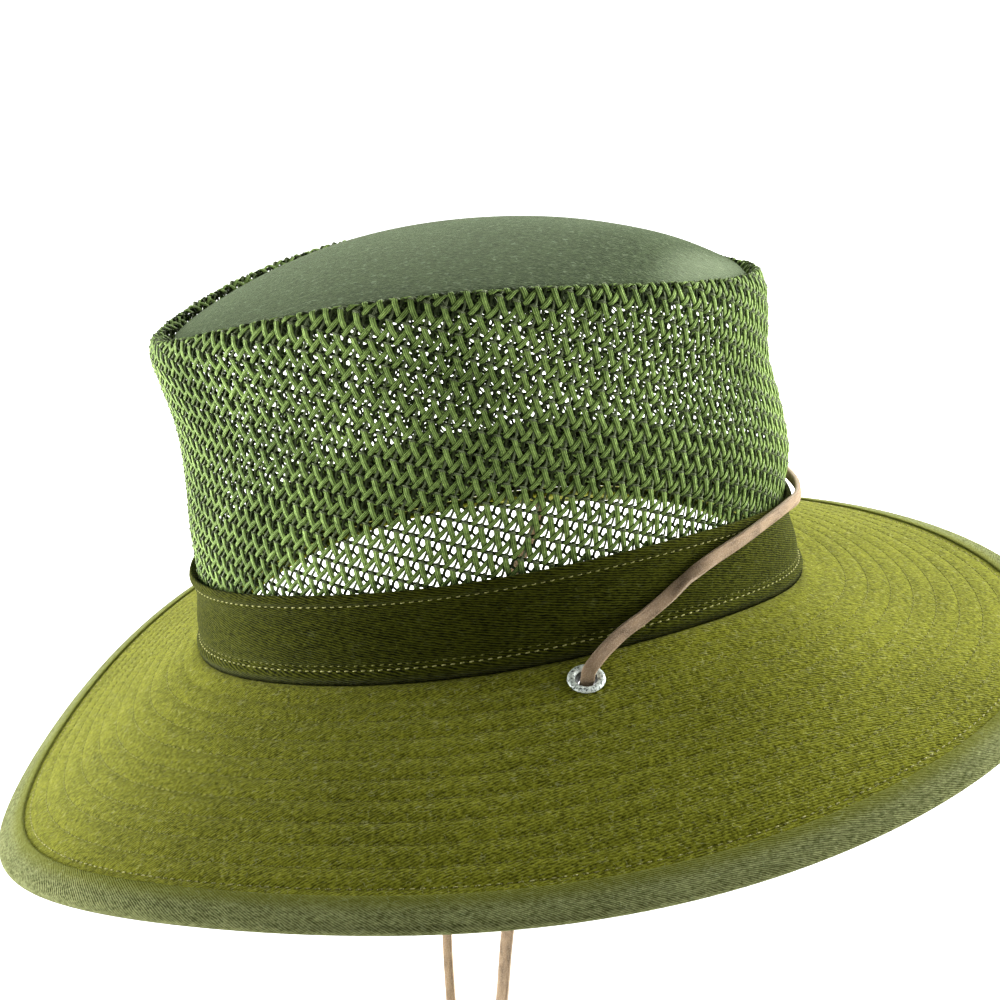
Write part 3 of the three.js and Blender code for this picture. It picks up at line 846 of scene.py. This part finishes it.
def brim_surface(out, angle):
    droop = brim_droop(angle)
    radius = BRIM_BEND / droop
    turned_by = droop * np.clip(out / BRIM_BEND, 0, 1)
    straight = np.maximum(out - BRIM_BEND, 0)
    reach = np.minimum(out, 0) + radius * np.sin(turned_by) + straight * np.cos(droop)
    drop = radius * (1 - np.cos(turned_by)) + straight * np.sin(droop)
    place = oval(HEAD_HALF_LENGTH, HEAD_HALF_WIDTH, angle) + outward(angle) * reach[..., None]
    place[..., 2] = seam_height(angle) - drop
    return place


def brim_up(out, angle):
    """The brim's surface with its direction reversed, so that square_to looks upwards."""
    return brim_surface(-out, angle)


def brim_flat(out, angle):
    """The brim laid out flat."""
    place = oval(HEAD_HALF_LENGTH, HEAD_HALF_WIDTH, angle) - outward(angle) * out[..., None]
    return place[..., :2]


def eyelet_seat(side):
    """The middle of an eyelet on the brim and the direction of its axis."""
    out, angle = np.array(-EYELET_OUT), np.array(side * EYELET_ANGLE)
    return Vector(brim_up(out, angle)), Vector(square_to(brim_up, out, angle))


def off_axis(point, centre, axis):
    away = point - centre
    return away - axis * away.dot(axis)


brim_edge = BRIM_WIDTH - BINDING_WALL - GAP
quilt_rows = [*BRIM_STITCHES, BRIM_EDGE_STITCHES]
brim_outs = [-BRIM_LIP, -0.002, 0, 0.001, 0.002, BRIM_BEND, 0.005]
for row, after in zip(quilt_rows, [*quilt_rows[1:], brim_edge]):
    gap = after - row
    brim_outs += [row - BRIM_FURROW, row, row + BRIM_FURROW]
    brim_outs += [row + gap * 0.25, row + gap * 0.5, row + gap * 0.75]
brim_outs.append(brim_edge)


def quilted(out):
    pull = sum(math.exp(-((out - row) / BRIM_QUILT_WIDTH) ** 2) for row in quilt_rows)
    return BRIM_QUILT * pull


brim_section = [(-out, quilted(out)) for out in brim_outs]
brim_section += [(-out, BRIM_WALL - quilted(out)) for out in reversed(brim_outs)]
brim_form = ring_of_cloth(brim_up, brim_section, None, brim_flat)
for side in (1, -1):
    centre, axis = eyelet_seat(side)
    pierced = []
    for face in brim_form.faces:
        middle = face.calc_center_median()
        if (off_axis(middle, centre, axis).length < EYELET_BARREL + EYELET_CUT
                and (middle - centre).length < EYELET_CUT_REACH):
            pierced.append(face)
    bmesh.ops.delete(brim_form, geom=pierced, context="FACES")
    hole = [edge for edge in brim_form.edges if edge.is_boundary]
    for corner in {corner for edge in hole for corner in edge.verts}:
        away = off_axis(corner.co, centre, axis)
        corner.co += away.normalized() * (EYELET_BARREL + GAP) - away
    bmesh.ops.bridge_loops(brim_form, edges=hole)
brim_cloth = twill_finish("brim_twill", BRIM_DARK, BRIM_LIGHT, BRIM_FUZZ, slant=110, spacing=0.00085,
                          rib=0.28, grain=0.8, fuzz=0.3, sheen=0.3)
brim = finished("brim_cloth", brim_form, brim_cloth)
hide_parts("brim")
brim_thread = stitch_rows("brim_stitches", brim_up, [-row for row in BRIM_STITCHES[1:]],
                          thread_finish("brim_thread", BRIM_THREAD_DARK, BRIM_THREAD_LIGHT),
                          -BRIM_QUILT, BRIM_THREAD)
edge_thread = stitch_rows("brim_edge_stitches", brim_up, [-BRIM_EDGE_STITCHES],
                          thread_finish("edge_thread", BRIM_THREAD_DARK, THREAD_LIGHT), -BRIM_QUILT)

# Brim binding
# A tape of grey-green twill, cut on its bias and folded over the brim's edge.
BINDING_WIDTH = 0.0109
BINDING_GIRTH = 1.13
BINDING_SLACK = 0.0001  # between the brim and the tape
BINDING_DARK = (0.07, 0.08, 0.025, 1)
BINDING_LIGHT = (0.34, 0.365, 0.17, 1)
BINDING_INNER = (0.16, 0.17, 0.02, 1)
BINDING_INNER_SPAN = (0.001, 0.007)
edge_radius = BINDING_WALL + BRIM_WALL / 2
start = BRIM_WIDTH - BINDING_WIDTH
flat_end = BRIM_WIDTH - edge_radius
tape_face = [(start, -0.0002), (start + 0.0001, -BINDING_WALL * 0.7), (start + 0.0006, -BINDING_WALL)]
tape_face += [(out, -BINDING_WALL) for out in np.linspace(start + 0.002, flat_end, 5)]
upper_face = list(tape_face)
for turn in np.linspace(-90, 90, 11)[1:-1]:
    lean = math.radians(turn)
    tape_face.append((flat_end + edge_radius * math.cos(lean),
                      BRIM_WALL / 2 + edge_radius * math.sin(lean)))
tape_face += [(out, BRIM_WALL - depth) for out, depth in reversed(upper_face)]
tape_back = [(start, BRIM_WALL + BINDING_SLACK), (brim_edge, BRIM_WALL + BINDING_SLACK),
             (brim_edge + 0.0002, BRIM_WALL / 2), (brim_edge, -BINDING_SLACK), (start, -BINDING_SLACK)]
tape_section = [(-out, depth) for out, depth in tape_face + tape_back]
binding_form = ring_of_cloth(brim_up, tape_section, BINDING_GIRTH)
binding_cloth = twill_finish("binding_twill", BINDING_DARK, BINDING_LIGHT, FUZZ_PALE, slant=28,
                             spacing=0.0006, rib=0.4, grain=0.6, fuzz=0.2, sheen=0.06, lay=BAND_LAY,
                             inner=(BINDING_INNER, BINDING_INNER_SPAN))
binding = finished("binding_tape", binding_form, binding_cloth)
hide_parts("brim_binding")

# Eyelets
# Two pressed metal eyelets through the brim beside the band. Their dull pale plating is speckled
# and dark with wear. Inside the hole it is near black: partly tarnish, partly painted shade.
EYELET_HOLE = 0.0033
EYELET_FLANGE = 0.0057
EYELET_ROLL = 0.0009
EYELET_SET = 0.001  # how much the set end below is pressed in
METAL_DARK = (0.1, 0.13, 0.11, 1)
# The colours inside the hole: partly tarnish, partly painted shade.
METAL_TARNISH_AND_SHADE = (0.045, 0.052, 0.04, 1)
METAL_INSIDE_SHADE = (0.012, 0.014, 0.01, 1)
METAL_LIGHT = (0.86, 0.93, 0.87, 1)


def eyelet_finish(name, dark, light):
    metal = Finish(name, Roughness=0.5)
    place = metal.solid_place()
    speckle = metal.noise(place, 1300, 3, 0.7)
    share = speckle.rise(0.36, 0.52)
    colour = metal.blend(share, dark, light)
    return metal.feed(Base_Color=colour, Roughness=0.62 - share * 0.2, Metallic=0.6 - share * 0.5,
                      Normal=metal.bump(speckle, 0.00015))


eyelet_material = eyelet_finish("speckled_metal", METAL_DARK, METAL_LIGHT)
tarnish_and_shade_material = eyelet_finish("tarnish_and_shade_metal", METAL_INSIDE_SHADE, METAL_TARNISH_AND_SHADE)
for name, side in (("left", 1), ("right", -1)):
    crest = (EYELET_HOLE + EYELET_FLANGE) / 2
    half_width = (EYELET_FLANGE - EYELET_HOLE) / 2
    upper = [(crest - half_width * math.cos(turn), EYELET_ROLL * math.sin(turn) + GAP / 2)
             for turn in np.linspace(0, math.pi, 11)]
    lower = [(radius - EYELET_SET, -BRIM_WALL - height) for radius, height in reversed(upper)]
    profile = upper + [(EYELET_BARREL, GAP / 2), (EYELET_BARREL, -BRIM_WALL - GAP / 2)] + lower
    form = turned(profile, 48)
    # Faces inside the hole take the near-black finish: tarnish with painted shade.
    for face in form.faces:
        middle = face.calc_center_median()
        if middle.xy.length < EYELET_HOLE and middle.z < EYELET_ROLL / 4:
            face.material_index = 1
    centre, axis = eyelet_seat(side)
    seat = Matrix.Translation(centre) @ axis.to_track_quat("Z", "Y").to_matrix().to_4x4()
    bmesh.ops.transform(form, matrix=seat, verts=form.verts)
    eyelet = finished(f"eyelet_ring_{name}", form, eyelet_material)
    eyelet.data.materials.append(tarnish_and_shade_material)
    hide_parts(f"eyelet_{name}")

# Stage
# A plain white floor far under the brim and a white sky low all round. A large soft light stands
# high behind the hat and a smaller one at each end of it.
FLOOR_DROP = 0.002
FLOOR_REACH = 12.0
FLOOR_WHITE = (0.8, 0.8, 0.8, 1)
FLOOR_GREY = (0.74, 0.74, 0.74, 1)
FLOOR_GLOW = 0.95  # of the floor far away, as of paper lit by lamps of its own
FLOOR_GLOW_SPAN = (0.3, 1.1)  # distances between which it grows
CAMERA_SIDE = (-0.3, 0.6)  # where the floor and the sky grow dimmer towards the camera
CAMERA_SIDE_GLOW = (0.5, 0.5, 0.5, 1)
SKY_LOW = 1.05
SKY_LOW_NEAR_CAMERA = 0.5
SKY_HIGH = 0.24
SKY_FADE = (0.17, 0.42)  # heights between which the sky grows dim
LIGHTS = [  # name, kind, place, size, power
    ("behind_light", "POINT", (-1.4, 0.35, 0.95), 0.5, 120),
    ("front_light", "AREA", (-0.22, -1.3, 0.12), 0.8, 34),
    ("back_light", "AREA", (-0.26, 1.3, 0.3), 0.8, 32),
]


class Sky(Finish):
    """The light from all round, built up as a finish is."""

    def __init__(self, name):
        self.material = bpy.data.worlds.new(name)
        self.material.use_nodes = True
        self.tree = self.material.node_tree
        self.shader = self.tree.nodes["Background"]
        self.shader.inputs["Color"].default_value = (1, 1, 1, 1)
        bpy.context.scene.world = self.material


def floor_finish():
    paper = Finish("white_floor", Roughness=0.9, Emission_Strength=FLOOR_GLOW)
    place = paper.solid_place()
    colour = paper.blend(paper.noise(place, 30, 3), FLOOR_GREY, FLOOR_WHITE)
    far = paper.node("VectorMath", {"operation": "LENGTH"}, {0: place}, 1).rise(*FLOOR_GLOW_SPAN)
    near_camera = paper.node("SeparateXYZ", {}, {0: place}).rise(*CAMERA_SIDE)
    glow = paper.blend(near_camera, (1, 1, 1, 1), CAMERA_SIDE_GLOW)
    return paper.feed(Base_Color=colour, Emission_Color=paper.blend(far, (0, 0, 0, 1), glow))


floor_form = bmesh.new()
bmesh.ops.create_circle(floor_form, cap_ends=True, segments=64, radius=FLOOR_REACH)
bmesh.ops.translate(floor_form, verts=floor_form.verts, vec=(0, 0, cad_low[2] - FLOOR_DROP))
floor_mesh = bpy.data.meshes.new("floor")
floor_form.to_mesh(floor_mesh)
floor_form.free()
floor_mesh.materials.append(floor_finish())
floor = bpy.data.objects.new("floor", floor_mesh)
bpy.context.scene.collection.objects.link(floor)

for name, kind, place, size, power in LIGHTS:
    lamp = bpy.data.lights.new(name, kind)
    if kind == "AREA":
        lamp.size = size
    else:
        lamp.shadow_soft_size = size
    lamp.energy = power
    light = bpy.data.objects.new(name, lamp)
    light.visible_camera = False
    light.location = place
    light.rotation_euler = (-Vector(place)).to_track_quat("-Z", "Y").to_euler()
    bpy.context.scene.collection.objects.link(light)

sky = Sky("studio")
direction = sky.node("TexCoord")
towards_camera = sky.node("SeparateXYZ", {}, {0: direction}).rise(*CAMERA_SIDE)
upwards = sky.node("SeparateXYZ", {}, {0: direction}, 2).rise(*SKY_FADE)
low_sky = SKY_LOW + towards_camera * (SKY_LOW_NEAR_CAMERA - SKY_LOW)
sky.feed(Strength=low_sky + upwards * (SKY_HIGH - low_sky))
bpy.context.scene.view_settings.view_transform = "Standard"
bpy.context.scene.view_settings.look = "Medium High Contrast"
